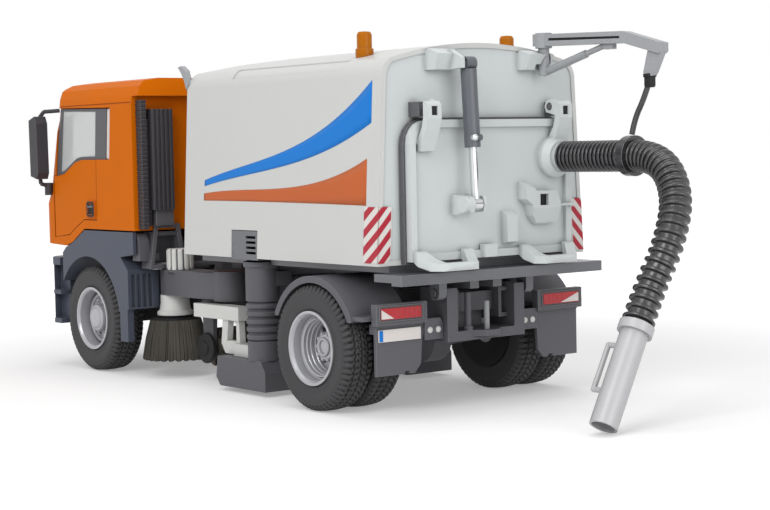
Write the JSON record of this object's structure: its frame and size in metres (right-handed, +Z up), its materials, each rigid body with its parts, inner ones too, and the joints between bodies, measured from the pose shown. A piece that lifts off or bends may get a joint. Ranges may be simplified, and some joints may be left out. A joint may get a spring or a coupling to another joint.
{
  "type": "toy street sweeper truck",
  "caption": "Plastic toy street sweeper truck with tilting cab, tipping hopper with tailgate and ram, side brooms, roller, suction hose and boom",
  "frame": {"origin": "on the floor under the middle of the truck without its hose, strap and suction pipe", "axes": "+X towards the cab, +Y towards the truck's left side, +Z up"},
  "size_m": [0.4705, 0.178, 0.1988],
  "materials": {
    "cab_orange": "smooth moulded orange plastic",
    "slate_plastic": "slate grey moulded plastic",
    "dark_plastic": "charcoal grey moulded plastic",
    "hopper_white": "off-white moulded plastic",
    "tail_grey": "pale grey-green moulded plastic",
    "light_plastic": "off-white moulded plastic",
    "chassis_grey": "dark grey moulded plastic",
    "boom_grey": "mid grey moulded plastic",
    "pipe_grey": "silver-grey moulded plastic",
    "rim_silver": "silver-coloured moulded plastic",
    "ram_dark": "dark grey moulded plastic",
    "ram_bright": "bright plated rod",
    "tyre_rubber": "soft black tyre",
    "bristle_dark": "bundled dark bristles",
    "hose_black": "flexible black plastic",
    "clear_glazing": "clear moulded glazing",
    "beacon_amber": "amber translucent plastic",
    "lens_red": "red lamp lens"
  },
  "bodies": {
    "chassis": {"chassis_frame": "chassis_grey", "front_axle": "chassis_grey", "rear_axle": "chassis_grey", "engine_block": "chassis_grey", "front_bumper": "slate_plastic", "front_fenders": "slate_plastic", "rear_fenders": "chassis_grey", "tail_frame": "chassis_grey", "coupling_pin": "ram_bright", "lamp_boards": "chassis_grey", "tail_lenses": "lens_red", "suction_duct_left": "chassis_grey", "suction_duct_right": "chassis_grey", "suction_nozzles": "chassis_grey", "broom_carrier": "light_plastic", "roller_hangers": "chassis_grey", "step_box": "chassis_grey", "suction_pipe": "pipe_grey"},
    "cab": {"cab_shell": "cab_orange", "cab_grille": "dark_plastic", "windscreen": "clear_glazing", "mirror_left": "dark_plastic", "mirror_right": "dark_plastic", "air_intake": "dark_plastic", "cab_interior": "dark_plastic"},
    "door_left": {"door_left": "cab_orange", "door_frame_left": "dark_plastic", "door_pane_left": "clear_glazing"},
    "door_right": {"door_right": "cab_orange", "door_frame_right": "dark_plastic", "door_pane_right": "clear_glazing"},
    "hopper": {"hopper_shell": "hopper_white", "hopper_rear": "tail_grey", "hinge_blocks": "dark_plastic", "hopper_base": "chassis_grey", "beacons": "beacon_amber", "hopper_horns": "boom_grey", "hose_upper": "hose_black", "hose_lower": "hose_black", "hose_strap": "hose_black", "hose_ring": "hose_black"},
    "tailgate": {"tailgate_panel": "tail_grey", "tailgate_seal": "dark_plastic", "tailgate_yokes": "tail_grey"},
    "ram_barrel": {"ram_barrel": "ram_dark"},
    "ram_rod": {"ram_rod": "ram_bright"},
    "boom": {"boom": "boom_grey"},
    "broom_arm_left": {"broom_arm_left": "chassis_grey"},
    "broom_arm_right": {"broom_arm_right": "chassis_grey"},
    "broom_left": {"broom_disc_left": "bristle_dark"},
    "broom_right": {"broom_disc_right": "bristle_dark"},
    "roller": {"roller_brush": "bristle_dark"},
    "front_wheel_left": {"front_tyre_left": "tyre_rubber", "front_rim_left": "rim_silver"},
    "front_wheel_right": {"front_tyre_right": "tyre_rubber", "front_rim_right": "rim_silver"},
    "rear_wheel_left": {"rear_tyres_left": "tyre_rubber", "rear_rim_left": "rim_silver"},
    "rear_wheel_right": {"rear_tyres_right": "tyre_rubber", "rear_rim_right": "rim_silver"}
  },
  "joints": [
    {"name": "cab_tilt", "type": "hinge", "parent": "chassis", "child": "cab", "pos_m": [0.2113, 0, 0.066], "axis": [0, 1, 0], "range_deg": [0, 50]},
    {"name": "door_left_open", "type": "hinge", "parent": "cab", "child": "door_left", "pos_m": [0.2023, 0.0757, 0.104], "axis": [0, 0, -1], "range_deg": [0, 65]},
    {"name": "door_right_open", "type": "hinge", "parent": "cab", "child": "door_right", "pos_m": [0.2023, -0.0757, 0.104], "axis": [0, 0, 1], "range_deg": [0, 65]},
    {"name": "hopper_tip", "type": "hinge", "parent": "chassis", "child": "hopper", "pos_m": [-0.1292, 0, 0.062], "axis": [0, -1, 0], "range_deg": [0, 35], "deforming": ["hose_lower"]},
    {"name": "tailgate_lift", "type": "hinge", "parent": "hopper", "child": "tailgate", "pos_m": [-0.1392, 0, 0.158], "axis": [0, 1, 0], "range_deg": [0, 75], "deforming": ["hose_upper", "hose_ring"]},
    {"name": "ram_swing", "type": "hinge", "parent": "hopper", "child": "ram_barrel", "pos_m": [-0.1452, 0.021, 0.18], "axis": [0, 1, 0], "range_deg": [0, 58]},
    {"name": "ram_slide", "type": "slide", "parent": "ram_barrel", "child": "ram_rod", "axis": [-0.0555, 0, -0.9985], "range_m": [-0.0208, 0]},
    {"name": "boom_slew", "type": "hinge", "parent": "hopper", "child": "boom", "pos_m": [-0.1392, -0.0377, 0.19], "axis": [0, 0, 1], "range_deg": [-60, 90], "deforming": ["hose_strap"]},
    {"name": "roller_spin", "type": "hinge", "parent": "chassis", "child": "roller", "pos_m": [0.0638, 0, 0.02], "axis": [0, 1, 0], "continuous": true},
    {"name": "broom_swing_left", "type": "hinge", "parent": "chassis", "child": "broom_arm_left", "pos_m": [0.0538, 0.03, 0.058], "axis": [0, 0, 1], "range_deg": [0, 20]},
    {"name": "broom_spin_left", "type": "hinge", "parent": "broom_arm_left", "child": "broom_left", "pos_m": [0.1018, 0.0495, 0.03], "axis": [0, 0, 1], "continuous": true},
    {"name": "front_wheel_spin_left", "type": "hinge", "parent": "chassis", "child": "front_wheel_left", "pos_m": [0.1618, 0.065, 0.0335], "axis": [0, 1, 0], "continuous": true},
    {"name": "rear_wheel_spin_left", "type": "hinge", "parent": "chassis", "child": "rear_wheel_left", "pos_m": [-0.0822, 0.0604, 0.0335], "axis": [0, 1, 0], "continuous": true},
    {"name": "broom_swing_right", "type": "hinge", "parent": "chassis", "child": "broom_arm_right", "pos_m": [0.0538, -0.03, 0.058], "axis": [0, 0, -1], "range_deg": [0, 20]},
    {"name": "broom_spin_right", "type": "hinge", "parent": "broom_arm_right", "child": "broom_right", "pos_m": [0.1018, -0.0495, 0.03], "axis": [0, 0, 1], "continuous": true},
    {"name": "front_wheel_spin_right", "type": "hinge", "parent": "chassis", "child": "front_wheel_right", "pos_m": [0.1618, -0.065, 0.0335], "axis": [0, 1, 0], "continuous": true},
    {"name": "rear_wheel_spin_right", "type": "hinge", "parent": "chassis", "child": "rear_wheel_right", "pos_m": [-0.0822, -0.0604, 0.0335], "axis": [0, 1, 0], "continuous": true}
  ],
  "couplings": [
    {"joint": "ram_swing", "follows": "tailgate_lift", "ratio": 0.7655},
    {"joint": "ram_slide", "follows": "tailgate_lift", "m_per_rad": -0.01574}
  ]
}
